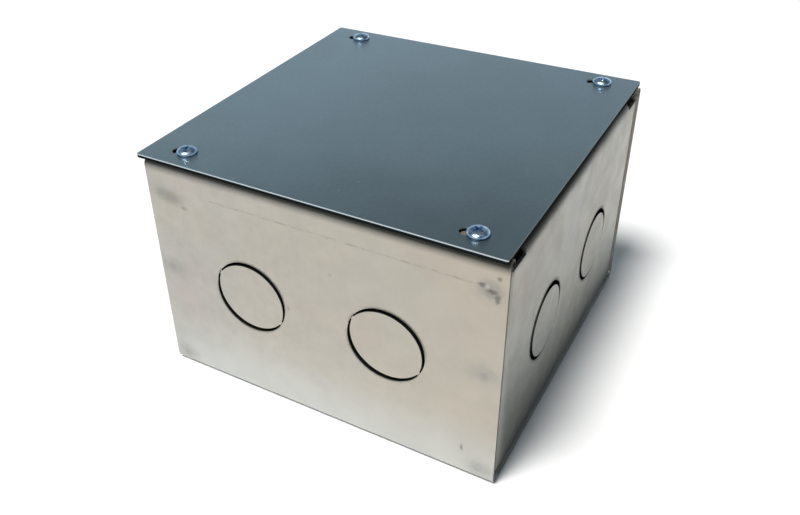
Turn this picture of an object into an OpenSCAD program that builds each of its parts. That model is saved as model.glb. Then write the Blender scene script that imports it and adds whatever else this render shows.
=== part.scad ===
// Galvanised sheet-steel junction box with knockouts, a slotted flat cover and an earth terminal.
// Millimetres. X runs along the front, -Y is the front, +Z is up. The origin is the middle of the base.

/* [Box] */
// Width of the box across its front
box_w = 150; // [140:1:160]
// Depth of the box from front to rear
box_d = 150; // [140:1:160]
// Clear height from the inside of the base to the underside of the cover, plus the base itself
box_h = 101.2; // [95:0.2:110]
// Thickness of the folded sheet
sheet_t = 1.2; // [1:0.1:1.4]
// Outside radius of the folds round the base and under the cover, front and rear
fold_r = 3.2; // [2:0.1:3.4]
// Width of the inward flange along the top of the front and the rear
rim_w = 14; // [13.5:0.5:16]
// How far the flat of the rim stops short of the box's sides
rim_cutback = 3; // [2:0.5:4]

/* [Side panels] */
// How far each side panel's face stands in from the cut edges of the front and rear
side_inset = 0.5; // [0.3:0.1:1]
// Width of the side panel's tucked flanges, behind the front and rear and on the floor
tuck_w = 18; // [14:1:20]
// Width of the side panel's own top flange
side_rim_w = 12; // [10:0.5:12.5]
// Distance from the box's middle to the ends of the side panel's top flange
side_rim_half = 60; // [55:1:60]
// Outside radius of the side panel's upright folds and of the fold under the cover
side_fold_r = 3.6; // [3:0.2:4]
// How far the side panel's top flange lies below the cover
side_drop = 1.8; // [1:0.2:2.2]
// Height of the open corner notches under the cover
notch_h = 5.4; // [5:0.2:7]
// Height of the relief where the side panel's folds meet at the floor
foot_relief = 4.4; // [4:0.2:5]

/* [Knockouts] */
// Radius of the hole that a knockout leaves
ko_hole_r = 16; // [15.5:0.1:16.5]
// Distance from a slug's middle to its edge beside a tie
ko_arc_r = 15.8; // [15.2:0.1:15.8]
// How far the two arcs of a front or rear slug are shifted together, which opens the cut between its ties
ko_arc_shift = 1.7; // [0.3:0.1:2]
// Radius of a side panel's slug, which hangs from one tie
ko_side_slug_r = 14.4; // [14:0.1:15.4]
// Distance of the knockouts from the middle of the front and rear
ko_pitch_half = 30; // [26:1:32]
// Distance of the knockouts from the middle of the side panels
ko_side_pitch_half = 29; // [26:1:32]
// Height of the knockouts on the front and rear
ko_z = 50; // [45:1:55]
// Height of the knockouts on the side panels
ko_side_z = 46; // [45:1:55]
// Width of the ties that hold a slug
ko_tie_w = 2.2; // [1.6:0.2:3]
// Direction of the hinge tie on the front and rear, in degrees up from the face's right
ko_tie_deg = -30; // [-60:5:-20]
// Direction of the hinge tie on the side panels
ko_side_tie_deg = -45; // [-60:5:-30]

/* [Cover] */
// Width and depth of the cover
cover_w = 151.5; // [150:0.5:153]
// Thickness of the cover
cover_t = 1.6; // [1.2:0.1:2]
// Sideways position of the cover on its slots
cover_shift = -1.6; // [-2:0.1:0]
// Length of the cover's slots
slot_l = 10; // [9:0.5:11]
// Width of the cover's slots
slot_w = 5; // [4.6:0.2:5.4]

/* [Cover screws] */
// Distance of the screws from the middle, sideways
screw_x = 60; // [58:0.5:60]
// Distance of the screws from the middle, front to rear
screw_y = 66.5; // [66:0.1:66.8]
// Thread diameter
screw_d = 4; // [4:0.1:4.2]
// Length under the head
screw_l = 10; // [8:1:12]
// Head diameter
head_d = 8; // [7.4:0.2:8.4]
// Head height
head_h = 2.2; // [2:0.1:2.6]

/* [Lugs] */
// Length of the tapped lug under each corner of the rim
lug_l = 24; // [20:1:24]
// Width of the lug
lug_w = 10.4; // [9:0.2:10.4]
// Thickness of the lug
lug_t = 3; // [2.5:0.5:4]

/* [Base holes] */
// Distance between the fixing holes, sideways
fix_x = 100; // [90:1:104]
// Distance between the fixing holes, front to rear
fix_y = 90; // [80:1:92]
// Diameter of the fixing holes
fix_d = 6.5; // [5:0.5:7]

/* [Earth terminal] */
// Place of the earth screw, sideways
earth_x = -35; // [-37:1:-33]
// Place of the earth screw, front to rear
earth_y = 60; // [59:1:62]
// Height of the underside of the earth bracket's shelf
earth_shelf_z = 10; // [9:0.5:12]
// Thickness of the earth bracket
earth_t = 1.5; // [1.2:0.1:2]
// Width of the earth bracket and of its clamping plate
earth_w = 13; // [11:1:14]
// Thread diameter of the earth screw
earth_d = 5; // [5:0.1:5.2]

/* [Hidden] */
$fn = 64;

eps = 0.01;
cut = 5;                              // overshoot of a cutting tool past the sheet
fit_gap = 0.05;                       // radial clearance of a screw in its tapped hole
tie_gap = 0.03;                       // gap between a tie's end and the edge of its hole
steel = [0.74, 0.74, 0.71];
dark_steel = [0.42, 0.48, 0.53];
zinc = [0.70, 0.76, 0.84];
brass = [0.80, 0.64, 0.30];

inner_y = box_d / 2 - sheet_t;        // inside of the front and rear
side_face = box_w / 2 - side_inset;   // outside of a side panel
side_inner = side_face - sheet_t;     // inside of a side panel
inner_top = box_h - sheet_t;          // underside of the rim
cover_top = box_h + cover_t;
side_top = box_h - side_drop;         // top of a side panel's flange
wall_top = min(box_h - notch_h, side_top - side_fold_r);
wall_foot = max(foot_relief, sheet_t + fold_r);
corner_relief = 2.2;                  // length of the base's relief cut beside each fold
relief_depth = 3;                     // how far that cut reaches in from the base's edge

weld_x = box_w / 2 - 6;
weld_heights = [6, 52, 88];
weld_ball_r = 6;
weld_depth = 0.25;

earth_head_d = 9.5;
earth_head_h = 3;
earth_plate_t = 1.5;
earth_screw_l = 9;
earth_riser_x = earth_x - 8;
earth_foot_l = 11;
earth_shelf_top = earth_shelf_z + earth_t;

// A rectangle with round corners, centred sideways and standing on y = low
module rounded(w, low, high, r) {
    translate([-w / 2 + r, low])
        square([w - 2 * r, high - low]);
    translate([-w / 2, low + r])
        square([w, high - low - 2 * r]);
    for (x = [-w / 2 + r, w / 2 - r], y = [low + r, high - r])
        translate([x, y])
            circle(r = r);
}

// A closed folded-sheet outline, one sheet thick, folded to the outside radius r
module sheet_ring(w, low, high, r) {
    difference() {
        rounded(w, low, high, r);
        rounded(w - 2 * sheet_t, low + sheet_t, high - sheet_t, r - sheet_t);
    }
}

// Puts a drawing made in a face's own plane, x right and y up, on a wall that is dist from the middle
module on_wall(turn, dist) {
    rotate([0, 0, turn])
        translate([0, -dist, 0])
            rotate([90, 0, 0])
                children();
}

// Extrudes a front-to-rear profile, x along Y and y along Z, across the box
module across(length) {
    rotate([90, 0, 90])
        linear_extrude(length, center = true)
            children();
}

// Extrudes a sideways profile, x along X and y along Z, from front to rear
module along(length) {
    rotate([90, 0, 0])
        linear_extrude(length, center = true)
            children();
}

module ko_holes(turn, dist, pitch_half, z) {
    for (x = [-pitch_half, pitch_half])
        on_wall(turn, dist)
            translate([x, z, -cut])
                cylinder(r = ko_hole_r, h = 2 * cut);
}

// Spot-weld dimples down both edges of the front or the rear
module weld_dimples(turn) {
    for (x = [-weld_x, weld_x], z = weld_heights)
        on_wall(turn, box_d / 2)
            translate([x, z, weld_ball_r - weld_depth])
                sphere(r = weld_ball_r);
}

// Front, base and rear folded from one sheet, with an inward rim along the top
module body_wrap() {
    color(steel)
        difference() {
            across(box_w)
                difference() {
                    sheet_ring(box_d, 0, box_h, fold_r);
                    translate([-(box_d / 2 - rim_w), inner_top - cut])
                        square([box_d - 2 * rim_w, 2 * cut]);
                }
            for (turn = [0, 180]) {
                ko_holes(turn, box_d / 2, ko_pitch_half, ko_z);
                weld_dimples(turn);
            }
            for (x = [-1, 1], y = [-1, 1]) {
                translate([x * screw_x, y * screw_y, inner_top - cut])
                    cylinder(d = screw_d + 1, h = 2 * cut);
                translate([x * fix_x / 2, y * fix_y / 2, -cut])
                    cylinder(d = fix_d, h = 2 * cut);
                rim_cut(x, y);
                base_relief(x, y);
            }
        }
}

// Takes the end off the flat of the rim at one corner
module rim_cut(sx, sy) {
    translate([sx * box_w / 2, sy * (box_d / 2 - fold_r - rim_w / 2), box_h])
        cube([2 * rim_cutback, rim_w, 4 * sheet_t], center = true);
}

// The small relief beside the base's fold at one corner
module base_relief(sx, sy) {
    translate([sx * box_w / 2, sy * (box_d / 2 - fold_r - corner_relief / 2), 0])
        cube([2 * relief_depth, corner_relief, 4 * sheet_t], center = true);
}

// One side panel: a face with flanges tucked behind the front and rear, on the floor and under the cover
module side_panel() {
    color(steel)
        difference() {
            union() {
                translate([0, 0, wall_foot])
                    linear_extrude(wall_top - wall_foot)
                        intersection() {
                            sheet_ring(2 * side_face, -inner_y, inner_y, side_fold_r);
                            translate([side_face - tuck_w, -box_d / 2])
                                square([tuck_w, box_d]);
                        }
                along(2 * (inner_y - fold_r - corner_relief))
                    intersection() {
                        sheet_ring(2 * side_face, sheet_t, box_h, fold_r);
                        translate([side_face - tuck_w, 0])
                            square([tuck_w, box_h / 2]);
                    }
                along(2 * side_rim_half)
                    intersection() {
                        sheet_ring(2 * side_face, sheet_t, side_top, side_fold_r);
                        translate([side_face - side_rim_w, box_h / 2 - cut])
                            square([side_rim_w, box_h]);
                    }
            }
            ko_holes(90, side_face, ko_side_pitch_half, ko_side_z);
        }
}

module side_panel_left() {
    mirror([1, 0, 0])
        side_panel();
}

module side_panel_right() {
    side_panel();
}

// A tapped plate spot-welded under one end of the rim
module corner_lug(sx, sy) {
    translate([sx * screw_x, sy * screw_y, inner_top - lug_t])
        color(steel)
            difference() {
                linear_extrude(lug_t)
                    square([lug_l, lug_w], center = true);
                translate([0, 0, -cut])
                    cylinder(r = screw_d / 2 + fit_gap, h = 3 * cut);
            }
}

module corner_lug_fl() {
    corner_lug(-1, -1);
}

module corner_lug_fr() {
    corner_lug(1, -1);
}

module corner_lug_rl() {
    corner_lug(-1, 1);
}

module corner_lug_rr() {
    corner_lug(1, 1);
}

// Flat cover with a slot at each corner, so that it can be squared up before the screws are tightened
module cover() {
    translate([cover_shift, 0, box_h])
        color(dark_steel)
            difference() {
                linear_extrude(cover_t)
                    rounded(cover_w, -cover_w / 2, cover_w / 2, 0.6);
                for (x = [-screw_x, screw_x], y = [-screw_y, screw_y])
                    translate([x, y, -cut])
                        linear_extrude(2 * cut)
                            slot_outline();
            }
}

module slot_outline() {
    straight = slot_l - slot_w;
    square([straight, slot_w], center = true);
    for (x = [-straight / 2, straight / 2])
        translate([x, 0])
            circle(d = slot_w);
}

// Pan-head profile: flat seat, round shoulder and a shallow domed top
module pan_head(d, h) {
    edge = h * 0.55;
    rotate_extrude() {
        square([d / 2 - edge, h]);
        square([d / 2, h - edge]);
        translate([d / 2 - edge, h - edge])
            intersection() {
                circle(r = edge);
                square(edge);
            }
    }
}

// Cover screw with a cross recess
module cover_screw(sx, sy) {
    recess_w = 0.9;
    recess_l = 4.2;
    recess_depth = 1.4;
    translate([sx * screw_x, sy * screw_y, cover_top])
        color(zinc)
            difference() {
                union() {
                    pan_head(head_d, head_h);
                    translate([0, 0, -screw_l])
                        cylinder(d = screw_d, h = screw_l + eps);
                }
                for (turn = [20, 110])
                    rotate([0, 0, turn])
                        translate([0, 0, head_h])
                            cube([recess_l, recess_w, 2 * recess_depth], center = true);
            }
}

module cover_screw_fl() {
    cover_screw(-1, -1);
}

module cover_screw_fr() {
    cover_screw(1, -1);
}

module cover_screw_rl() {
    cover_screw(-1, 1);
}

module cover_screw_rr() {
    cover_screw(1, 1);
}

// One slug of the front or the rear, side is -1 for the left one of its face seen from outside
module knockout(turn, side) {
    on_wall(turn, box_d / 2 - sheet_t)
        translate([side * ko_pitch_half, ko_z, 0])
            color(steel)
                linear_extrude(sheet_t)
                    rotate(ko_tie_deg)
                        slug_outline();
}

// Two shallow arcs that meet at the ties, which lie along x
module slug_outline() {
    intersection() {
        translate([0, ko_arc_shift])
            circle(r = ko_arc_r, $fn = 96);
        translate([0, -ko_arc_shift])
            circle(r = ko_arc_r, $fn = 96);
    }
    intersection() {
        circle(r = ko_hole_r - tie_gap, $fn = 96);
        square([2 * ko_hole_r, ko_tie_w], center = true);
    }
}

// One slug of a side panel, side is -1 for the left one of its face seen from outside
module side_knockout(turn, side) {
    on_wall(turn, side_face - sheet_t)
        translate([side * ko_side_pitch_half, ko_side_z, 0])
            color(steel)
                linear_extrude(sheet_t)
                    rotate(ko_side_tie_deg)
                        side_slug_outline();
}

// A round slug close to its hole at the one tie, on +x, with a widening cut round the rest
module side_slug_outline() {
    translate([ko_arc_r - ko_side_slug_r, 0])
        circle(r = ko_side_slug_r, $fn = 96);
    intersection() {
        circle(r = ko_hole_r - tie_gap, $fn = 96);
        translate([0, -ko_tie_w / 2])
            square([ko_hole_r, ko_tie_w]);
    }
}

module knockout_front_left() {
    knockout(0, -1);
}

module knockout_front_right() {
    knockout(0, 1);
}

module knockout_right_front() {
    side_knockout(90, -1);
}

module knockout_right_rear() {
    side_knockout(90, 1);
}

module knockout_rear_right() {
    knockout(180, -1);
}

module knockout_rear_left() {
    knockout(180, 1);
}

module knockout_left_rear() {
    side_knockout(-90, -1);
}

module knockout_left_front() {
    side_knockout(-90, 1);
}

// Folded shelf on the floor that carries the earth screw
module earth_bracket() {
    shelf_l = 2 * (earth_x - earth_riser_x);
    color(steel)
        difference() {
            translate([0, earth_y, 0])
                along(earth_w) {
                    translate([earth_riser_x - earth_foot_l, sheet_t])
                        square([earth_foot_l + earth_t, earth_t]);
                    translate([earth_riser_x, sheet_t])
                        square([earth_t, earth_shelf_top - sheet_t]);
                    translate([earth_riser_x, earth_shelf_z])
                        square([shelf_l, earth_t]);
                }
            translate([earth_x, earth_y, earth_shelf_z - cut])
                cylinder(r = earth_d / 2 + fit_gap, h = 3 * cut);
        }
}

// Square plate that clamps a wire under the earth screw's head
module earth_clamp_plate() {
    translate([earth_x, earth_y, earth_shelf_top])
        color(brass)
            difference() {
                linear_extrude(earth_plate_t)
                    square(earth_w - 2, center = true);
                translate([0, 0, -cut])
                    cylinder(r = earth_d / 2 + 2 * fit_gap, h = 3 * cut);
            }
}

// Slotted earth screw
module earth_screw() {
    slot_w = 1.2;
    slot_depth = 1.5;
    translate([earth_x, earth_y, earth_shelf_top + earth_plate_t])
        color(brass)
            difference() {
                union() {
                    pan_head(earth_head_d, earth_head_h);
                    translate([0, 0, -earth_screw_l])
                        cylinder(d = earth_d, h = earth_screw_l + eps);
                }
                translate([0, 0, earth_head_h])
                    cube([2 * earth_head_d, slot_w, 2 * slot_depth], center = true);
            }
}

body_wrap();
side_panel_left();
side_panel_right();
corner_lug_fl();
corner_lug_fr();
corner_lug_rl();
corner_lug_rr();
cover();
cover_screw_fl();
cover_screw_fr();
cover_screw_rl();
cover_screw_rr();
knockout_front_left();
knockout_front_right();
knockout_right_front();
knockout_right_rear();
knockout_rear_right();
knockout_rear_left();
knockout_left_rear();
knockout_left_front();
earth_bracket();
earth_clamp_plate();
earth_screw();
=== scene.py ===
import math

import bmesh
import bpy
from mathutils import Matrix, Vector


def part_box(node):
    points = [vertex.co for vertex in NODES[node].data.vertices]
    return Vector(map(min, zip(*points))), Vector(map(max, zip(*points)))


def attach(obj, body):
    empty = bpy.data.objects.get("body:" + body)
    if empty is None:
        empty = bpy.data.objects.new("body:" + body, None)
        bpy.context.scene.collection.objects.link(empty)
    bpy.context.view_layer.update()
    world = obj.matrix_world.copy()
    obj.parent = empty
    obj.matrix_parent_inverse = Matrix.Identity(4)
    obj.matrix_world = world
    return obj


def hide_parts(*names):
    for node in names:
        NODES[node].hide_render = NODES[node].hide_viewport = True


# Looks of a galvanised sheet-steel junction box with a flat slotted cover.
# Metres, in the CAD frame: X runs along the front, -Y is the front, +Z is up.

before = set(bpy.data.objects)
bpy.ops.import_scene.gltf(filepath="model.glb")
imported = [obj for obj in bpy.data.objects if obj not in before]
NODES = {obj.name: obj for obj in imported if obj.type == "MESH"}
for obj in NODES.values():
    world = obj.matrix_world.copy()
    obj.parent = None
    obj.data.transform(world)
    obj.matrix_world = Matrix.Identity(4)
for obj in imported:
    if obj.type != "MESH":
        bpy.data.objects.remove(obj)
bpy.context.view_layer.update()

MM = 0.001

# ---------------------------------------------------------------- measures

WRAP_LOW, WRAP_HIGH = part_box("body_wrap")
SIDE_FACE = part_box("side_panel_right")[1].x
COVER_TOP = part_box("cover")[1].z
EARTH_PLATE_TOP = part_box("earth_clamp_plate")[1].z
SHEET = 1.2 * MM
CORNERS = ("fl", "fr", "rl", "rr")

KNOCKOUT_R = 16 * MM
WRAP_PITCH_HALF = 30 * MM
WRAP_KNOCKOUT_Z = 50 * MM
SIDE_PITCH_HALF = 29 * MM
SIDE_KNOCKOUT_Z = 46 * MM
WRAP_CUT_LEAN = 60
SIDE_CUT_LEAN = 135
CREASE_Z = 90 * MM
FLOOR_HALF = 6.0
FLOOR_LEVEL = -0.05 * MM
WELD_X = WRAP_HIGH.x - 6 * MM
WELD_HEIGHTS = (6 * MM, 52 * MM, 88 * MM)


def middle(node):
    low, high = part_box(node)
    return (low + high) / 2


# ---------------------------------------------------------------- camera, floor and lights


def add_camera():
    """The view from the front right and above, with the slight tilt of a hand-held camera."""
    image_w, image_h = 800, 515
    focal = 860.4
    centre_u, centre_v = 360.5, 229.3
    azimuth, elevation, roll = math.radians(30.98), math.radians(33.30), math.radians(-1.76)
    data = bpy.data.cameras.new("camera")
    data.sensor_width = 36
    data.lens = focal * data.sensor_width / image_w
    data.shift_x = (image_w / 2 - centre_u) / image_w
    data.shift_y = (centre_v - image_h / 2) / image_w
    data.clip_start = 0.01
    data.clip_end = 50
    camera = bpy.data.objects.new("camera", data)
    bpy.context.scene.collection.objects.link(camera)
    turn = Matrix.Rotation(azimuth, 4, "Z") @ Matrix.Rotation(math.pi / 2 - elevation, 4, "X")
    place = Matrix.Translation(Vector((145.8, -282.7, 256.9)) * MM)
    camera.matrix_world = place @ turn @ Matrix.Rotation(roll, 4, "Z")
    bpy.context.scene.camera = camera


def add_key():
    """One wide, soft light, high and a little to the left of the front."""
    data = bpy.data.lights.new("key", "SUN")
    data.energy = 3.7
    data.angle = math.radians(17)
    data.color = (1.0, 0.985, 0.965)
    key = bpy.data.objects.new("key", data)
    key.rotation_euler = Vector((-0.14, -0.36, 0.93)).to_track_quat("Z", "Y").to_euler()
    bpy.context.scene.collection.objects.link(key)


def add_world():
    """A pale ring of light round the horizon under a dim, bluish ceiling.

    What the camera itself sees of it is a plain backdrop."""
    world = bpy.data.worlds.new("studio")
    world.use_nodes = True
    tree = world.node_tree
    direction = tree.nodes.new("ShaderNodeTexCoord").outputs["Generated"]
    split = tree.nodes.new("ShaderNodeSeparateXYZ")
    tree.links.new(direction, split.inputs[0])
    ceiling = tree.nodes.new("ShaderNodeValToRGB")
    ramp = ceiling.color_ramp
    ramp.interpolation = "B_SPLINE"
    brightness = ((0.0, 1.0), (0.2, 0.85), (0.34, 0.5), (0.45, 0.26), (0.56, 0.12), (0.75, 0.07))
    while len(ramp.elements) < len(brightness):
        ramp.elements.new(0.5)
    for element, (height, level) in zip(ramp.elements, brightness):
        element.position = height
        element.color = (level * 0.84, level, level * 1.12, 1)
    backdrop = tree.nodes.new("ShaderNodeMix")
    backdrop.data_type = "RGBA"
    backdrop.inputs[7].default_value = (0.97, 0.97, 0.97, 1)
    tree.links.new(split.outputs["Z"], ceiling.inputs[0])
    light_path = tree.nodes.new("ShaderNodeLightPath")
    tree.links.new(light_path.outputs["Is Camera Ray"], backdrop.inputs[0])
    tree.links.new(ceiling.outputs[0], backdrop.inputs[6])
    tree.links.new(backdrop.outputs[2], tree.nodes["Background"].inputs["Color"])
    bpy.context.scene.world = world


def add_stage():
    """A plain pale floor, a hair below the base so that the two never share a plane."""
    mesh = bpy.data.meshes.new("floor")
    signs = ((-1, -1), (1, -1), (1, 1), (-1, 1))
    corners = [(x * FLOOR_HALF, y * FLOOR_HALF, FLOOR_LEVEL) for x, y in signs]
    mesh.from_pydata(corners, [], [(0, 1, 2, 3)])
    floor = bpy.data.objects.new("floor", mesh)
    bpy.context.scene.collection.objects.link(floor)
    floor_paint = Shade("floor_paint")
    tint = floor_paint.noise(90 * MM, detail=3)
    floor_paint.surface_colour(floor_paint.mix(tint, tone(240, 240, 239), tone(244, 244, 243)))
    floor_paint.set(Roughness=0.9)
    mesh.materials.append(floor_paint.material)

    add_world()
    add_key()
    bpy.context.scene.view_settings.view_transform = "Standard"


# ---------------------------------------------------------------- material nodes


def tone(red, green, blue):
    """A linear colour from 0-255 display values."""

    def linear(value):
        share = value / 255
        return share / 12.92 if share <= 0.04045 else ((share + 0.055) / 1.055) ** 2.4

    return (linear(red), linear(green), linear(blue), 1.0)


class Shade:
    """One material and short calls for the nodes that the materials share.

    Every pattern reads object coordinates, which for all pieces are metres in the CAD frame."""

    def __init__(self, name):
        self.material = bpy.data.materials.new(name)
        self.material.use_nodes = True
        self.tree = self.material.node_tree
        self.surface = self.tree.nodes["Principled BSDF"]
        where = self.add("ShaderNodeTexCoord")
        self.point = where.outputs["Object"]
        self.x, self.y, self.z = self.split(self.point)
        self.facing_x, self.facing_y, self.facing_z = self.split(where.outputs["Normal"])

    def add(self, kind, **settings):
        node = self.tree.nodes.new(kind)
        for name, value in settings.items():
            setattr(node, name, value)
        return node

    def put(self, socket, value):
        if isinstance(value, bpy.types.NodeSocket):
            self.tree.links.new(value, socket)
        else:
            socket.default_value = value

    def set(self, **inputs):
        for name, value in inputs.items():
            self.put(self.surface.inputs[name.replace("_", " ")], value)

    def surface_colour(self, value):
        self.put(self.surface.inputs["Base Color"], value)

    def split(self, vector):
        node = self.add("ShaderNodeSeparateXYZ")
        self.put(node.inputs[0], vector)
        return node.outputs[0], node.outputs[1], node.outputs[2]

    def math(self, operation, *values):
        node = self.add("ShaderNodeMath", operation=operation)
        for socket, value in zip(node.inputs, values):
            self.put(socket, value)
        return node.outputs[0]

    def times(self, *values):
        result = values[0]
        for value in values[1:]:
            result = self.math("MULTIPLY", result, value)
        return result

    def size_of(self, value):
        return self.math("ABSOLUTE", value)

    def remap(self, value, low, high, to_low=0.0, to_high=1.0):
        node = self.add("ShaderNodeMapRange", interpolation_type="SMOOTHSTEP", clamp=True)
        for name, setting in zip(
            ("Value", "From Min", "From Max", "To Min", "To Max"),
            (value, low, high, to_low, to_high),
        ):
            self.put(node.inputs[name], setting)
        return node.outputs["Result"]

    def mix(self, share, first, second):
        node = self.add("ShaderNodeMix", data_type="RGBA")
        self.put(node.inputs[0], share)
        self.put(node.inputs[6], first)
        self.put(node.inputs[7], second)
        return node.outputs[2]

    def stretched(self, x, y, z):
        node = self.add("ShaderNodeVectorMath", operation="MULTIPLY")
        self.put(node.inputs[0], self.point)
        self.put(node.inputs[1], (x, y, z))
        return node.outputs[0]

    def noise(self, size, detail=2.0, roughness=0.5, vector=None, distortion=0.0):
        node = self.add("ShaderNodeTexNoise", noise_dimensions="3D")
        self.put(node.inputs["Vector"], vector or self.point)
        self.put(node.inputs["Scale"], 1 / size)
        self.put(node.inputs["Detail"], detail)
        self.put(node.inputs["Roughness"], roughness)
        self.put(node.inputs["Distortion"], distortion)
        return node.outputs["Fac"]

    def cells(self, size, output="Distance", vector=None, randomness=1.0):
        node = self.add("ShaderNodeTexVoronoi", feature="F1")
        self.put(node.inputs["Vector"], vector or self.point)
        self.put(node.inputs["Scale"], 1 / size)
        self.put(node.inputs["Randomness"], randomness)
        return node.outputs[output]

    def distance(self, place, stretch=(1, 1, 1)):
        """Distance from a place, with each axis scaled first."""
        moved = self.add("ShaderNodeVectorMath", operation="SUBTRACT")
        self.put(moved.inputs[0], self.point)
        self.put(moved.inputs[1], place)
        scaled = self.add("ShaderNodeVectorMath", operation="MULTIPLY")
        self.put(scaled.inputs[0], moved.outputs[0])
        self.put(scaled.inputs[1], stretch)
        length = self.add("ShaderNodeVectorMath", operation="LENGTH")
        self.put(length.inputs[0], scaled.outputs[0])
        return length.outputs["Value"]

    def spot(self, place, radius, soft, stretch=(1, 1, 1), ragged=None):
        """1 inside a spot and 0 outside it, with a soft edge that a noise can make ragged."""
        away = self.distance(place, stretch)
        if ragged is not None:
            away = self.math("ADD", away, ragged)
        return self.remap(away, radius - soft, radius + soft, 1.0, 0.0)

    def most(self, values):
        result = values[0]
        for value in values[1:]:
            result = self.math("MAXIMUM", result, value)
        return result

    def bump(self, height, depth, under=None):
        """A normal from a height of 0 to 1 that stands for depth metres."""
        node = self.add("ShaderNodeBump")
        self.put(node.inputs["Strength"], 1.0)
        self.put(node.inputs["Distance"], depth)
        self.put(node.inputs["Height"], height)
        if under is not None:
            self.put(node.inputs["Normal"], under)
        return node.outputs[0]


# ---------------------------------------------------------------- materials


def centred(shade, noise, reach):
    """A 0-1 noise as an offset of up to reach either way."""
    return shade.math("MULTIPLY", shade.math("SUBTRACT", noise, 0.5), 2 * reach)


def sheet_base(shade, warm, cool, pink, yellow):
    """Blotchy zinc: drifting warm and cool areas, fine mottling and a faint spangle."""
    drift = shade.remap(shade.noise(70 * MM, 2), 0.35, 0.65)
    colour = shade.mix(drift, warm, cool)
    pinker = shade.remap(shade.noise(38 * MM, 3, distortion=0.6), 0.5, 0.75, 0, 0.55)
    colour = shade.mix(pinker, colour, pink)
    other = shade.stretched(1.3, 1.3, 0.8)
    yellower = shade.remap(shade.noise(45 * MM, 3, vector=other), 0.52, 0.78, 0, 0.6)
    colour = shade.mix(yellower, colour, yellow)
    mottle = shade.remap(shade.noise(5 * MM, 4, 0.6), 0.3, 0.7, 0.955, 1.03)
    spangle = shade.split(shade.cells(6 * MM, "Color"))[0]
    grain = shade.remap(spangle, 0, 1, 0.985, 1.015)
    return scale_colour(shade, colour, shade.times(mottle, grain)), spangle


def scale_colour(shade, colour, factor):
    node = shade.add("ShaderNodeVectorMath", operation="SCALE")
    shade.put(node.inputs[0], colour)
    shade.put(node.inputs["Scale"], factor)
    return node.outputs[0]


def specks(shade, size, share):
    """Scattered small dark specks, in about that share of the cells."""
    near = shade.remap(shade.cells(size), 0.06, 0.16, 1.0, 0.0)
    chosen = shade.split(shade.cells(size, "Color"))[1]
    return shade.math("MULTIPLY", near, shade.math("LESS_THAN", chosen, share))


def sheet_relief(shade, spangle, extra=None):
    """Rolled sheet is never quite flat: broad waves, fine grain and the spangle's facets."""
    waves = shade.bump(shade.noise(60 * MM, 1), 0.35 * MM)
    grain = shade.bump(shade.noise(0.9 * MM, 3), 0.012 * MM, waves)
    facets = shade.bump(spangle, 0.006 * MM, grain)
    return facets if extra is None else shade.bump(extra, 0.18 * MM, facets)


def punch_rim_and_cut_shade(shade, across, outward, pitch_half, level, lean, both, width):
    """Dark, ragged band beside a knockout's cut: partly the punch's dark rim, partly painted shade
    of the open cut.

    Across is the axis that runs along the face, and outward says which way the face looks."""
    sign = shade.math("SIGN", across)
    from_middle = shade.math("SUBTRACT", across, shade.math("MULTIPLY", sign, pitch_half))
    right = shade.math("MULTIPLY", from_middle, shade.math("SIGN", outward))
    up = shade.math("SUBTRACT", shade.z, level)
    reach = shade.math("SQRT", shade.math("ADD", shade.times(right, right), shade.times(up, up)))
    along_cut = shade.math(
        "ADD",
        shade.math("MULTIPLY", right, math.cos(math.radians(lean))),
        shade.math("MULTIPLY", up, math.sin(math.radians(lean))),
    )
    share = shade.math("DIVIDE", along_cut, reach)
    if both:
        share = shade.size_of(share)
    open_part = shade.remap(share, 0.25, 0.8) if both else shade.remap(share, -0.4, 0.3)
    ragged = centred(shade, shade.noise(1.3 * MM, 3), 0.5 * MM)
    reach = shade.math("ADD", reach, ragged)
    away = shade.size_of(shade.math("SUBTRACT", reach, KNOCKOUT_R - 0.3 * MM))
    return shade.times(shade.remap(away, width / 3, width, 1.0, 0.0), open_part)


def weld_marks(shade):
    """Halo, ring and dark heart of the spot welds down both edges of the front and rear."""
    ragged = centred(shade, shade.noise(4 * MM, 3), 2.2 * MM)
    halos, rings, hearts = [], [], []
    for end in (WRAP_LOW.y, WRAP_HIGH.y):
        for side in (-1, 1):
            for height in WELD_HEIGHTS:
                place = (side * WELD_X, end, height)
                halos.append(shade.spot(place, 4.2 * MM, 3.0 * MM, (0.75, 1, 1), ragged=ragged))
                away = shade.math("ADD", shade.distance(place), ragged)
                rim = shade.math("ABSOLUTE", shade.math("SUBTRACT", away, 3.2 * MM))
                rings.append(shade.remap(rim, 0.2 * MM, 0.9 * MM, 1.0, 0.0))
                hearts.append(shade.spot(place, 1.5 * MM, 1.0 * MM, ragged=ragged))
    return shade.most(halos), shade.most(rings), shade.most(hearts)


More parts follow.
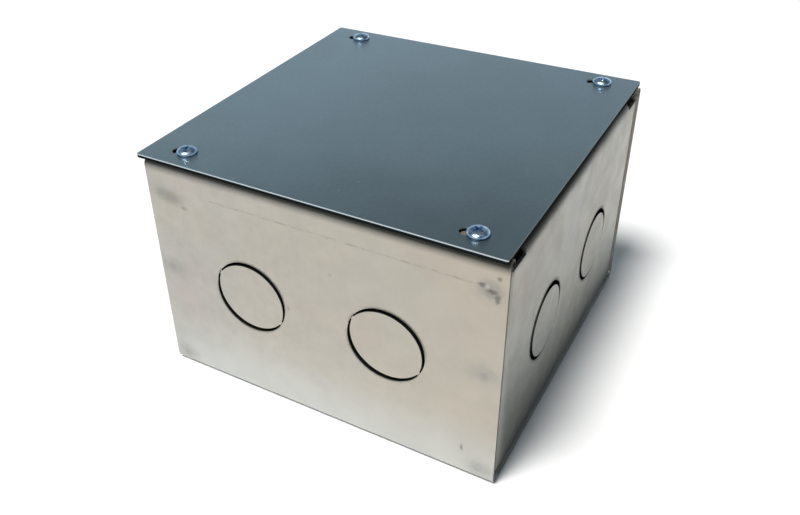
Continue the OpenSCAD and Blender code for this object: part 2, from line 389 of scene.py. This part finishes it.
def galvanised_wrap():
    """The folded sheet that makes the front, base and rear."""
    shade = Shade("galvanised_wrap")
    colour, spangle = sheet_base(
        shade, tone(181, 175, 166), tone(178, 176, 171), tone(182, 170, 163), tone(182, 174, 160)
    )
    warm_side = shade.remap(shade.x, -0.07, 0.075, 0.0, 0.6)
    colour = shade.mix(warm_side, colour, tone(181, 171, 155))
    # Painted reflection of the lit floor: the sheet paler and more neutral towards its bottom.
    arch = shade.math("ADD", shade.z, centred(shade, shade.noise(60 * MM, 2), 9 * MM))
    pale = shade.remap(arch, 4 * MM, 36 * MM, 0.75, 0.0)
    colour = shade.mix(pale, colour, tone(190, 192, 190))

    on_face = shade.math("GREATER_THAN", shade.size_of(shade.y), WRAP_HIGH.y - 0.3 * MM)
    front = shade.math("LESS_THAN", shade.y, WRAP_LOW.y + 0.3 * MM)
    halo, ring, heart = weld_marks(shade)
    colour = shade.mix(shade.times(halo, on_face, 0.36), colour, tone(146, 144, 141))
    colour = shade.mix(shade.times(heart, on_face, 0.18), colour, tone(120, 117, 115))

    y = WRAP_LOW.y
    scorch = centred(shade, shade.noise(1.6 * MM, 3), 0.9 * MM)
    burnt = shade.spot((68.6 * MM, y, 89.6 * MM), 3.6 * MM, 1.6 * MM, (0.9, 1, 1.1), ragged=scorch)
    colour = shade.mix(shade.times(burnt, front, 0.4), colour, tone(140, 134, 130))
    smear = shade.spot((-63.0 * MM, y, 86.4 * MM), 2.6 * MM, 2.4 * MM, (0.5, 1, 1))
    fleck = shade.spot((-12.2 * MM, y, 51.3 * MM), 0.5 * MM, 0.6 * MM, (1, 1, 0.6))
    dot = shade.spot((-58.0 * MM, y, 83.1 * MM), 0.8 * MM, 0.8 * MM, (0.6, 1, 1))
    mark = shade.most(
        [
            shade.spot((71.3 * MM, y, 86.4 * MM), 1.1 * MM, 0.6 * MM, (1.2, 1, 0.6), ragged=scorch),
            shade.spot((69.4 * MM, y, 88.6 * MM), 1.1 * MM, 0.7 * MM, (0.6, 1, 1.2), ragged=scorch),
            shade.spot((65.8 * MM, y, 90.4 * MM), 1.0 * MM, 0.6 * MM, (0.7, 1, 1.3), ragged=scorch),
            shade.spot((71.6 * MM, y, 94.4 * MM), 0.7 * MM, 0.6 * MM),
            shade.times(smear, 0.5),
            shade.times(dot, 0.7),
            shade.times(shade.spot((7.6 * MM, y, 73.8 * MM), 0.7 * MM, 0.7 * MM), 0.35),
            shade.times(fleck, 0.7),
            shade.spot((61.7 * MM, y, 13.6 * MM), 0.5 * MM, 0.5 * MM, (1, 1, 0.4)),
        ]
    )
    colour = shade.mix(shade.times(mark, front, 0.6), colour, tone(78, 75, 73))
    spark = shade.spot((67.5 * MM, y, 90.2 * MM), 0.7 * MM, 0.5 * MM, ragged=scorch)
    colour = shade.mix(shade.times(spark, front, 0.3), colour, tone(214, 212, 208))

    from_crease = shade.size_of(shade.math("SUBTRACT", shade.z, CREASE_Z))
    broken = shade.remap(shade.noise(5 * MM, 2), 0.42, 0.62)
    from_its_middle = shade.size_of(shade.math("SUBTRACT", shade.x, 8 * MM))
    along = shade.remap(from_its_middle, 50 * MM, 60 * MM, 1.0, 0.0)
    crease = shade.times(shade.remap(from_crease, 0.15 * MM, 0.7 * MM, 1.0, 0.0), along, on_face)
    colour = shade.mix(shade.times(crease, broken, 0.36), colour, tone(118, 106, 98))
    colour = shade.mix(shade.times(specks(shade, 16 * MM, 0.08), 0.25), colour, tone(130, 126, 122))

    outward = shade.math("MULTIPLY", shade.y, -1)
    # Painted shade beside the knockout cuts, over the punch's dark rim.
    rim_and_cut_shade = punch_rim_and_cut_shade(
        shade, shade.x, outward, WRAP_PITCH_HALF, WRAP_KNOCKOUT_Z, WRAP_CUT_LEAN, True, 1.5 * MM
    )
    colour = shade.mix(shade.times(rim_and_cut_shade, on_face, 0.6), colour, tone(78, 75, 70))

    cut = shade.math("GREATER_THAN", shade.size_of(shade.facing_x), 0.6)
    # The knockout slits' walls painted near black: partly bare cut steel, partly painted shade of
    # the open cuts.
    dark_shaded_cut_wall = shade.times(
        shade.math("GREATER_THAN", shade.size_of(shade.y), WRAP_HIGH.y - SHEET - 0.1 * MM),
        shade.math("LESS_THAN", shade.size_of(shade.facing_y), 0.85),
        shade.math("LESS_THAN", shade.size_of(shade.x), 50 * MM),
        shade.math("GREATER_THAN", shade.z, 5 * MM),
        shade.math("LESS_THAN", shade.z, 96 * MM),
    )
    colour = shade.mix(shade.times(cut, 0.95), colour, tone(62, 61, 58))
    colour = shade.mix(dark_shaded_cut_wall, colour, tone(26, 27, 26))
    # Painted shade under the cover's edge: the top fold of front and rear darkened, most towards
    # the cover.
    on_fold = shade.remap(shade.size_of(shade.y), 71.6 * MM, 72.6 * MM)
    painted_cover_shade = shade.times(shade.remap(shade.z, 95.8 * MM, 100.4 * MM, 0.0, 0.88), on_fold)
    colour = scale_colour(shade, colour, shade.math("SUBTRACT", 1.0, painted_cover_shade))

    shade.surface_colour(colour)
    wear = shade.remap(shade.noise(12 * MM, 3), 0.3, 0.7, 0.38, 0.52)
    # Painted shade again: under the cover and in the knockout slits the metal's reflection is
    # turned down.
    under_cover = shade.times(shade.remap(shade.z, 97 * MM, 100 * MM), on_fold)
    painted_shade_share = shade.math("MAXIMUM", dark_shaded_cut_wall, under_cover)
    shade.set(Metallic=shade.math("SUBTRACT", 0.82, shade.times(painted_shade_share, 0.75)), Roughness=wear)
    shade.set(Specular_IOR_Level=shade.math("SUBTRACT", 0.5, shade.times(painted_shade_share, 0.5)))
    dents = shade.math("SUBTRACT", shade.times(ring, on_face, 0.5), shade.times(heart, on_face))
    dents = shade.math("SUBTRACT", dents, shade.times(crease, 0.35))
    shade.set(Normal=sheet_relief(shade, spangle, dents))
    return shade.material


def galvanised_side():
    """The side panels: a greyer, glossier sheet, darkened all over, along its foot and under the
    cover as painted shade.
    """
    shade = Shade("galvanised_side")
    colour, spangle = sheet_base(
        shade, tone(186, 182, 172), tone(184, 185, 178), tone(188, 178, 168), tone(180, 176, 160)
    )
    # Painted shade for the reflection of the shadowed floor: the outside darkened along its foot,
    # reaching higher towards the front and weaker at the front corner.
    climb = centred(shade, shade.noise(50 * MM, 2), 5 * MM)
    slant = shade.math("MULTIPLY", shade.y, 0.3)
    level = shade.math("ADD", shade.math("ADD", shade.z, climb), slant)
    dull = shade.remap(level, 0.0, 56 * MM, 1.0, 0.0)
    dull = shade.times(dull, shade.remap(shade.y, -72 * MM, -64 * MM, 0.35, 1.0))
    outside = shade.math("GREATER_THAN", shade.size_of(shade.x), SIDE_FACE - 0.4 * MM)
    colour = shade.mix(shade.times(dull, outside, 0.85), colour, tone(86, 92, 82))
    colour = shade.mix(shade.times(specks(shade, 16 * MM, 0.1), 0.25), colour, tone(120, 116, 112))

    # Painted shade beside the knockout cuts, over the punch's dark rim.
    rim_and_cut_shade = punch_rim_and_cut_shade(
        shade, shade.y, shade.x, SIDE_PITCH_HALF, SIDE_KNOCKOUT_Z, SIDE_CUT_LEAN, False, 2.2 * MM
    )
    colour = shade.mix(shade.times(rim_and_cut_shade, outside, 0.8), colour, tone(64, 64, 58))
    # The knockout slits' walls painted near black: partly bare cut steel, partly painted shade of
    # the open cuts.
    dark_shaded_cut_wall = shade.times(
        shade.math("GREATER_THAN", shade.size_of(shade.x), SIDE_FACE - SHEET - 0.1 * MM),
        shade.math("LESS_THAN", shade.size_of(shade.facing_x), 0.85),
        shade.math("LESS_THAN", shade.size_of(shade.y), 50 * MM),
        shade.math("GREATER_THAN", shade.z, 8 * MM),
        shade.math("LESS_THAN", shade.z, 90 * MM),
    )
    colour = shade.mix(dark_shaded_cut_wall, colour, tone(26, 27, 26))
    # Painted shade: the whole side sheet darkened, a little less towards the rear.
    painted_side_shade = shade.remap(shade.y, 30 * MM, 66 * MM, 0.61, 0.7)
    # Painted shade at the foot: darker over the lowest millimetres, except along the front edge's
    # fold.
    painted_base_shade = shade.remap(shade.z, 2 * MM, 14 * MM, 0.62, 1.0)
    painted_base_shade = shade.math("MAXIMUM", painted_base_shade, shade.math("LESS_THAN", shade.y, -70.6 * MM))
    # Painted shade under the cover's edge: the top fold darkened, most towards the cover.
    on_fold = shade.remap(shade.size_of(shade.x), 71.0 * MM, 72.4 * MM)
    painted_cover_shade = shade.times(shade.remap(shade.z, 92.5 * MM, 99.0 * MM, 0.0, 0.88), on_fold)
    undimmed = shade.math("SUBTRACT", 1.0, painted_cover_shade)
    colour = scale_colour(shade, colour, shade.times(painted_side_shade, painted_base_shade, undimmed))
    shade.surface_colour(colour)
    wear = shade.remap(shade.noise(12 * MM, 3), 0.3, 0.7, 0.34, 0.46)
    # Painted shade again: under the cover and in the knockout slits the metal's reflection is
    # turned down.
    under_cover = shade.times(shade.remap(shade.z, 94 * MM, 99 * MM), on_fold)
    painted_shade_share = shade.math("MAXIMUM", dark_shaded_cut_wall, under_cover)
    shade.set(Metallic=shade.math("SUBTRACT", 0.85, shade.times(painted_shade_share, 0.78)), Roughness=wear)
    shade.set(Specular_IOR_Level=shade.math("SUBTRACT", 0.5, shade.times(painted_shade_share, 0.5)))
    shade.set(Normal=sheet_relief(shade, spangle))
    return shade.material


def galvanised_cover():
    """The cover: smooth blue-grey sheet, coloured darker than the body's as painted shade, with
    fine scratches and cut edges that are bright along the top of the front edge as painted
    highlight and near black below as painted shade over the dark fracture zone.
    """
    shade = Shade("galvanised_cover")
    # Painted shade: the sheet coloured darker than the body's.
    drift = shade.remap(shade.noise(65 * MM, 2), 0.3, 0.7)
    colour = shade.mix(drift, tone(139, 158, 166), tone(141, 162, 173))
    cloud = shade.remap(shade.noise(30 * MM, 3), 0.5, 0.8, 0, 0.25)
    colour = shade.mix(cloud, colour, tone(132, 145, 152))
    fine = shade.remap(shade.noise(1.6 * MM, 3), 0.3, 0.7, 0.97, 1.03)
    colour = scale_colour(shade, colour, fine)

    # Painted shade and light: darker towards the front right, lighter towards the left.
    front_right = shade.math("SUBTRACT", shade.times(shade.x, 0.45), shade.y)
    painted_shade_front_right = shade.remap(front_right, 20 * MM, 108 * MM, 1.0, 0.72)
    painted_light_left = shade.remap(shade.x, -70 * MM, 60 * MM, 1.15, 1.0)
    colour = scale_colour(shade, colour, shade.times(painted_shade_front_right, painted_light_left))

    rub = shade.math("MAXIMUM", *(fine_scratches(shade, turn) for turn in (0.35, 2.1)))
    colour = shade.mix(shade.math("MULTIPLY", rub, 0.16), colour, tone(176, 190, 200))
    nicks = shade.most(
        [
            shade.spot((9.0 * MM, -55.0 * MM, COVER_TOP), 0.4 * MM, 0.35 * MM, (0.4, 1.3, 1)),
            shade.spot((5.8 * MM, -63.5 * MM, COVER_TOP), 0.35 * MM, 0.3 * MM, (1, 0.45, 1)),
            shade.spot((-32.5 * MM, -74.4 * MM, COVER_TOP), 0.4 * MM, 0.3 * MM, (0.3, 1.2, 1)),
        ]
    )
    colour = shade.mix(shade.math("MULTIPLY", nicks, 0.55), colour, tone(160, 180, 196))

    # The cut edge: a bright strip along its top, full only on the front edge as painted highlight,
    # and near black below, partly the dark fracture zone of the cut and partly painted shade.
    side_on = shade.math("LESS_THAN", shade.facing_z, 0.7)
    side_on = shade.times(side_on, shade.math("GREATER_THAN", shade.facing_z, -0.7))
    burnish_and_highlight = shade.remap(shade.z, COVER_TOP - 0.65 * MM, COVER_TOP - 0.3 * MM)
    burnish_and_highlight = shade.times(burnish_and_highlight, shade.remap(shade.facing_y, -0.5, -0.2, 1.0, 0.16))
    edge = shade.mix(burnish_and_highlight, tone(20, 25, 25), tone(190, 200, 206))
    colour = shade.mix(side_on, colour, edge)
    sheared_and_shaded = shade.times(side_on, shade.math("SUBTRACT", 1.0, burnish_and_highlight))
    underside = shade.math("LESS_THAN", shade.facing_z, -0.7)
    colour = shade.mix(shade.math("MULTIPLY", underside, 0.6), colour, tone(150, 152, 150))

    shade.surface_colour(colour)
    gloss = shade.remap(shade.noise(20 * MM, 3), 0.3, 0.7, 0.29, 0.36)
    # Where the edge is painted near black, its reflection is turned down too.
    shade.set(Metallic=shade.math("SUBTRACT", 0.85, shade.times(sheared_and_shaded, 0.83)))
    shade.set(Specular_IOR_Level=shade.math("SUBTRACT", 0.5, shade.times(sheared_and_shaded, 0.5)))
    shade.set(Roughness=shade.math("SUBTRACT", gloss, shade.math("MULTIPLY", rub, 0.06)))
    waves = shade.bump(shade.noise(70 * MM, 1), 0.06 * MM)
    grain = shade.bump(shade.noise(0.7 * MM, 3), 0.008 * MM, waves)
    shade.set(Normal=shade.bump(rub, -0.01 * MM, grain))
    return shade.material


def fine_scratches(shade, turn):
    """Hair-thin marks that run one way, broken into short lengths."""
    lie = shade.add("ShaderNodeMapping")
    shade.put(lie.inputs["Vector"], shade.point)
    lie.inputs["Rotation"].default_value = (0, 0, turn)
    lie.inputs["Scale"].default_value = (1, 0.03, 1)
    line = shade.noise(0.7 * MM, 1, vector=lie.outputs[0])
    here = shade.remap(shade.noise(26 * MM, 2), 0.55, 0.75)
    return shade.math("MULTIPLY", shade.remap(line, 0.7, 0.78), here)


def galvanised_fitting():
    """The tapped lugs and the earth bracket: thicker plate, dull zinc."""
    shade = Shade("galvanised_fitting")
    colour, spangle = sheet_base(
        shade, tone(170, 168, 162), tone(164, 166, 164), tone(170, 162, 156), tone(172, 166, 150)
    )
    colour = shade.mix(shade.times(specks(shade, 4 * MM, 0.3), 0.4), colour, tone(96, 92, 88))
    shade.surface_colour(colour)
    wear = shade.remap(shade.noise(3 * MM, 3), 0.3, 0.7, 0.42, 0.58)
    shade.set(Metallic=0.85, Roughness=wear)
    shade.set(Normal=sheet_relief(shade, spangle))
    return shade.material


def plated(name, pale, dark, grime_and_shade, rough, seat):
    """Plated or solid fastener metal with flecks of dirt, and painted shade round the head's foot
    where it meets its seat.
    """
    shade = Shade(name)
    colour = shade.mix(shade.remap(shade.noise(2.2 * MM, 3), 0.35, 0.65), pale, dark)
    dirt = shade.remap(shade.noise(0.9 * MM, 3), 0.55, 0.75, 0.0, 0.5)
    colour = shade.mix(dirt, colour, grime_and_shade)
    # Painted shade: the head's foot darkened where it meets its seat.
    painted_seat_shade = shade.remap(shade.z, seat + 0.3 * MM, seat + 1.3 * MM, 0.8, 0.0)
    colour = shade.mix(painted_seat_shade, colour, grime_and_shade)
    shade.surface_colour(colour)
    wear = shade.remap(shade.noise(1.3 * MM, 3), 0.3, 0.7, rough, rough + 0.14)
    shade.set(Metallic=1.0, Roughness=wear)
    shade.set(Normal=shade.bump(shade.noise(0.35 * MM, 2), 0.012 * MM))
    return shade.material


# ---------------------------------------------------------------- mesh helpers


def new_piece(name, body, material, grid):
    """Turns a bmesh into a piece that rides on a body."""
    bmesh.ops.recalc_face_normals(grid, faces=grid.faces)
    mesh = bpy.data.meshes.new(name)
    grid.to_mesh(mesh)
    grid.free()
    mesh.materials.append(material)
    piece = bpy.data.objects.new(name, mesh)
    bpy.context.scene.collection.objects.link(piece)
    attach(piece, body)
    return piece


def soften(piece, width, weld=False):
    """Rounds the sharp edges a little, so that they catch the light."""
    if weld:
        join = piece.modifiers.new("join", "WELD")
        join.merge_threshold = 0.002 * MM
    bevel = piece.modifiers.new("edges", "BEVEL")
    bevel.width = width
    bevel.segments = 2
    bevel.limit_method = "ANGLE"
    bevel.angle_limit = math.radians(35)
    bevel.harden_normals = True


def lathe(grid, profile, segments):
    """Turns a profile of (radius, height) points round Z, closed where it meets the axis."""
    rings = []
    for radius, height in profile:
        if radius < 1e-7:
            rings.append([grid.verts.new((0, 0, height))])
            continue
        angles = (2 * math.pi * step / segments for step in range(segments))
        spots = [(radius * math.cos(a), radius * math.sin(a), height) for a in angles]
        rings.append([grid.verts.new(spot) for spot in spots])
    for low, high in zip(rings, rings[1:]):
        for step in range(segments):
            after = (step + 1) % segments
            corners = [low[step % len(low)], low[after % len(low)]]
            corners += [high[after % len(high)], high[step % len(high)]]
            grid.faces.new(list(dict.fromkeys(corners)))


def thread(grid, radius, pitch, low, high, segments=28):
    """A threaded shank from low to high, open at the top and closed by a chamfered tip."""
    depth = 0.61 * pitch
    steps = ((0.0, 0.0), (0.12, 0.0), (0.5, 1.0), (0.62, 1.0))
    turns = math.ceil((high - low) / pitch) + 1
    chamfer = depth * 1.3
    columns = []
    for column in range(segments):
        share = column / segments
        angle = 2 * math.pi * share
        line = []
        for turn in range(-1, turns):
            for along, ridge in steps:
                height = low + (turn + along + share) * pitch
                crest = ridge if low < height < high else 0.0
                height = min(max(height, low), high)
                tip = radius - depth + min(depth, (height - low) * depth / chamfer)
                reach = min(radius - depth + crest * depth, tip)
                reach = reach - max(0.0, chamfer / 2 - (height - low)) * 0.6
                spot = (reach * math.cos(angle), reach * math.sin(angle), height)
                line.append(grid.verts.new(spot))
        columns.append(line)
    per_turn = len(steps)
    rows = len(columns[0])
    for column in range(segments):
        here, after = columns[column], columns[(column + 1) % segments]
        shift = per_turn if column == segments - 1 else 0
        for row in range(rows - 1):
            if row + 1 + shift >= rows:
                continue
            grid.faces.new((here[row], after[row + shift], after[row + 1 + shift], here[row + 1]))
    bmesh.ops.remove_doubles(grid, verts=grid.verts, dist=0.002 * MM)
    bmesh.ops.dissolve_degenerate(grid, edges=grid.edges, dist=0.001 * MM)
    tip = low + 0.01 * MM
    open_edges = [edge for edge in grid.edges if edge.is_boundary]
    tip_edges = [edge for edge in open_edges if all(vert.co.z < tip for vert in edge.verts)]
    bmesh.ops.holes_fill(grid, edges=tip_edges, sides=0)


def apply_all(piece):
    """Replaces a piece's mesh by what its modifiers make of it."""
    graph = bpy.context.evaluated_depsgraph_get()
    made = bpy.data.meshes.new_from_object(piece.evaluated_get(graph))
    piece.modifiers.clear()
    piece.data = made


def cut_away(piece, cutter):
    """Cuts one closed mesh out of another and removes the cutter."""
    carve = piece.modifiers.new("carve", "BOOLEAN")
    carve.operation = "DIFFERENCE"
    carve.solver = "EXACT"
    carve.object = cutter
    bpy.context.view_layer.update()
    apply_all(piece)
    bpy.data.objects.remove(cutter)


def wedge(grid, length, width, depth, top, turn, slope):
    """A slot-shaped cutter that narrows downwards."""
    corners = []
    for height, shrink in ((top + 1 * MM, -slope * MM), (top - depth, slope * depth)):
        for x, y in ((-1, -1), (1, -1), (1, 1), (-1, 1)):
            spot = Vector((x * (length / 2 - shrink), y * (width / 2 - shrink * 0.25), height))
            corners.append(grid.verts.new(Matrix.Rotation(turn, 3, "Z") @ spot))
    low, high = corners[4:], corners[:4]
    grid.faces.new(high)
    grid.faces.new(low)
    for step in range(4):
        after = (step + 1) % 4
        grid.faces.new((high[step], high[after], low[after], low[step]))


def loose(name, grid):
    """Turns a bmesh into an object that is only a tool and rides on nothing."""
    bmesh.ops.recalc_face_normals(grid, faces=grid.faces)
    mesh = bpy.data.meshes.new(name)
    grid.to_mesh(mesh)
    grid.free()
    made = bpy.data.objects.new(name, mesh)
    bpy.context.scene.collection.objects.link(made)
    return made


# ---------------------------------------------------------------- pieces


def head_profile(radius, height, seat_radius):
    """Pan head from the shank out over the seat, up the rounded rim and across the low dome."""
    corner = 0.18 * MM
    rim = height * 0.42
    dome = height - rim
    points = [(seat_radius, 0.0), (radius - corner, 0.0)]
    for t in (0.5, 1.0, math.pi / 2):
        points.append((radius - corner * (1 - math.sin(t)), corner * (1 - math.cos(t))))
    points.append((radius, rim * 0.6))
    steps = 12
    for step in range(1, steps + 1):
        share = step / steps * math.pi / 2
        spread = math.cos(share) ** 0.75
        points.append((radius * spread, rim * 0.6 + (dome + rim * 0.4) * math.sin(share) ** 0.9))
    points[-1] = (0.0, height)
    return points


def screw(name, node, body, material, radius, pitch, head_height, seat, recess, turn):
    """A machine screw with a real thread, standing where the CAD screw stands."""
    low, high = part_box(node)
    spot = middle(node)
    head_radius = (high.x - low.x) / 2
    core = radius - 0.61 * pitch

    grid = bmesh.new()
    lathe(grid, head_profile(head_radius, head_height, core), 48)
    head = new_piece(name, body, material, grid)
    base_edges_closed(head)
    for number, shape in enumerate(recess):
        cutter_grid = bmesh.new()
        wedge(cutter_grid, *shape[:3], head_height, turn + shape[3], shape[4])
        cut_away(head, loose(f"cutter{number}", cutter_grid))

    shank = bmesh.new()
    thread(shank, radius, pitch, low.z - seat, 0.0)
    whole = bmesh.new()
    whole.from_mesh(head.data)
    shank_mesh = bpy.data.meshes.new("shank")
    shank.to_mesh(shank_mesh)
    shank.free()
    whole.from_mesh(shank_mesh)
    bpy.data.meshes.remove(shank_mesh)
    bmesh.ops.translate(whole, verts=whole.verts, vec=(spot.x, spot.y, seat))
    whole.to_mesh(head.data)
    whole.free()
    for face in head.data.polygons:
        face.use_smooth = True
    soften_by_angle(head)
    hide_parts(node)
    return head


def base_edges_closed(head):
    """Closes the small ring where the head meets the shank, so that the head can be cut."""
    grid = bmesh.new()
    grid.from_mesh(head.data)
    bmesh.ops.holes_fill(grid, edges=[e for e in grid.edges if e.is_boundary], sides=0)
    bmesh.ops.recalc_face_normals(grid, faces=grid.faces)
    grid.to_mesh(head.data)
    grid.free()


def soften_by_angle(piece):
    """Keeps the edges sharp where two smooth faces meet steeply."""
    grid = bmesh.new()
    grid.from_mesh(piece.data)
    for edge in grid.edges:
        if len(edge.link_faces) == 2 and edge.calc_face_angle() > math.radians(38):
            edge.smooth = False
    grid.to_mesh(piece.data)
    grid.free()


def cover_screws(material):
    """Four M4 pan-head screws, each stopped at its own angle."""
    turns = {"fl": 0.35, "fr": 1.15, "rl": 0.8, "rr": 0.1}
    wing = (4.4 * MM, 0.95 * MM, 1.35 * MM)
    recess = [(*wing, 0.0, 0.55), (*wing, math.pi / 2, 0.55)]
    for corner in CORNERS:
        screw(
            f"cover_screw_{corner}_threaded",
            f"cover_screw_{corner}",
            f"screw_{corner}",
            material,
            radius=2 * MM,
            pitch=0.7 * MM,
            head_height=2.2 * MM,
            seat=COVER_TOP,
            recess=recess,
            turn=turns[corner],
        )


def earth_terminal(material):
    """The M5 slotted screw that clamps the earth conductor under its plate."""
    screw(
        "earth_screw_threaded",
        "earth_screw",
        "earth_clamp",
        material,
        radius=2.5 * MM,
        pitch=0.8 * MM,
        head_height=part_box("earth_screw")[1].z - EARTH_PLATE_TOP,
        seat=EARTH_PLATE_TOP,
        recess=[(11 * MM, 1.2 * MM, 1.5 * MM, 0.0, 0.0)],
        turn=0.5,
    )


def burr(name, centre, right, out, arcs, material):
    """Low lips that the punch raised round a knockout, thick in the middle, fading at the ends."""
    up = Vector((0, 0, 1))
    grid = bmesh.new()
    across = 6
    for start, end, radius, width, height in arcs:
        steps = max(8, int(abs(end - start) / 4))
        rows = []
        for step in range(steps + 1):
            share = step / steps
            angle = math.radians(start + (end - start) * share)
            swell = math.sin(math.pi * share) ** 0.5 if 0 < share < 1 else 0.12
            row = []
            for part in range(across + 1):
                side = part / across
                reach = radius + width * swell * side
                lift = height * swell * math.sin(math.pi * side)
                spot = centre + reach * (math.cos(angle) * right + math.sin(angle) * up)
                row.append(grid.verts.new(spot + lift * out))
            rows.append(row)
        for here, after in zip(rows, rows[1:]):
            for part in range(across):
                grid.faces.new((here[part], here[part + 1], after[part + 1], after[part]))
            grid.faces.new((here[0], after[0], after[across], here[across]))
        grid.faces.new(rows[0])
        grid.faces.new(rows[-1])
    piece = new_piece(name, "box", material, grid)
    for face in piece.data.polygons:
        face.use_smooth = True
    soften_by_angle(piece)


def burrs(wrap, side):
    """A burr for each knockout. Each face has its rightward and outward directions and sheet."""
    faces = {
        "front": (Vector((1, 0, 0)), Vector((0, -1, 0)), ("left", "right"), wrap),
        "rear": (Vector((-1, 0, 0)), Vector((0, 1, 0)), ("right", "left"), wrap),
        "right": (Vector((0, 1, 0)), Vector((1, 0, 0)), ("front", "rear"), side),
        "left": (Vector((0, -1, 0)), Vector((-1, 0, 0)), ("rear", "front"), side),
    }
    on_wrap = [
        (0, 100, KNOCKOUT_R, 0.5 * MM, 0.12 * MM),
        (-62, -33, KNOCKOUT_R + 0.1 * MM, 0.5 * MM, 0.12 * MM),
        (140, 165, KNOCKOUT_R + 0.1 * MM, 0.6 * MM, 0.16 * MM),
        (-170, -95, KNOCKOUT_R, 0.45 * MM, 0.12 * MM),
    ]
    on_side = [
        (100, 190, KNOCKOUT_R, 0.5 * MM, 0.12 * MM),
        (10, 62, KNOCKOUT_R, 0.5 * MM, 0.12 * MM),
        (-142, -100, KNOCKOUT_R, 0.6 * MM, 0.16 * MM),
    ]
    for face, (right, out, ends, material) in faces.items():
        for end in ends:
            slug = middle(f"knockout_{face}_{end}")
            level = SIDE_FACE if face in ("left", "right") else WRAP_HIGH.y
            centre = slug - slug.dot(out) * out + level * out
            arcs = on_side if face in ("left", "right") else on_wrap
            burr(f"burr_{face}_{end}", centre, right, out, arcs, material)


def dress_cad_nodes(materials):
    """Gives each shown CAD node its material and softened edges."""
    wrap, side, cover, fitting, brass = materials
    plan = {
        "body_wrap": (wrap, 0.16 * MM, "galvanised_sheet"),
        "side_panel_left": (side, 0.16 * MM, "galvanised_sheet"),
        "side_panel_right": (side, 0.16 * MM, "galvanised_sheet"),
        "cover": (cover, 0.22 * MM, "galvanised_cover"),
        "earth_bracket": (fitting, 0.2 * MM, "galvanised_fitting"),
        "earth_clamp_plate": (brass, 0.2 * MM, "brass_terminal"),
    }
    for corner in CORNERS:
        plan[f"corner_lug_{corner}"] = (fitting, 0.25 * MM, "galvanised_fitting")
    for name in NODES:
        if name.startswith("knockout_"):
            on_wrap = name.startswith(("knockout_front", "knockout_rear"))
            plan[name] = (wrap if on_wrap else side, 0.14 * MM, "galvanised_sheet")
    for name, (material, width, slot) in plan.items():
        node = NODES[name]
        if not node.material_slots:
            node.data.materials.append(material)
        for holder in node.material_slots:
            holder.material = material
        soften(node, width, weld=True)


# ---------------------------------------------------------------- build

add_camera()
add_stage()

wrap_metal = galvanised_wrap()
side_metal = galvanised_side()
fitting_metal = galvanised_fitting()
zinc_tones = (tone(206, 226, 244), tone(140, 176, 210), tone(48, 68, 90))
brass_tones = (tone(214, 178, 96), tone(196, 152, 74), tone(70, 52, 28))
zinc = plated("zinc_plated", *zinc_tones, 0.24, COVER_TOP)
brass = plated("brass", *brass_tones, 0.24, EARTH_PLATE_TOP)

dress_cad_nodes((wrap_metal, side_metal, galvanised_cover(), fitting_metal, brass))
cover_screws(zinc)
earth_terminal(brass)
burrs(wrap_metal, side_metal)
